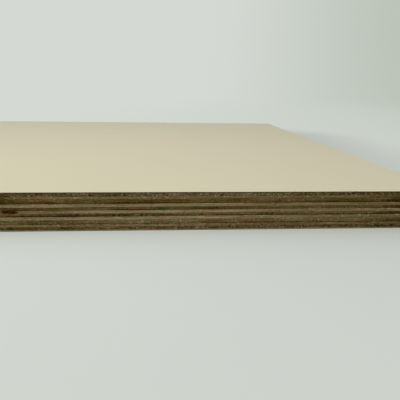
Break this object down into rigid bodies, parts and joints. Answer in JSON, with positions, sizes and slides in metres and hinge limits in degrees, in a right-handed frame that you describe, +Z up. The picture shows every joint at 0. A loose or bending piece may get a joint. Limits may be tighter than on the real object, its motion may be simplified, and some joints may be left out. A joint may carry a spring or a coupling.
{
  "type": "plywood sheet",
  "caption": "Flat rectangular plywood sheet: crossed veneer plies show on its sawn edges, and a smooth cream laminate covers both faces. Cut into shelves, panels and furniture.",
  "frame": {"origin": "centre of the underside, on the surface that the sheet lies on", "axes": "+X along the sheet's length, +Y along its width away from the sawn edge that the picture shows, +Z up through its thickness"},
  "size_m": [0.6, 0.3, 0.015],
  "materials": {
    "laminate": "satin",
    "veneer_grain_y": "matte",
    "veneer_grain_x": "matte"
  },
  "bodies": {
    "root": {"top_laminate": "laminate", "ply_01": "veneer_grain_y", "ply_02": "veneer_grain_x", "ply_03": "veneer_grain_y", "ply_04": "veneer_grain_x", "ply_05": "veneer_grain_y", "ply_06": "veneer_grain_x", "ply_07": "veneer_grain_y", "ply_08": "veneer_grain_x", "ply_09": "veneer_grain_y", "ply_10": "veneer_grain_x", "ply_11": "veneer_grain_y", "bottom_laminate": "laminate"}
  },
  "joints": []
}
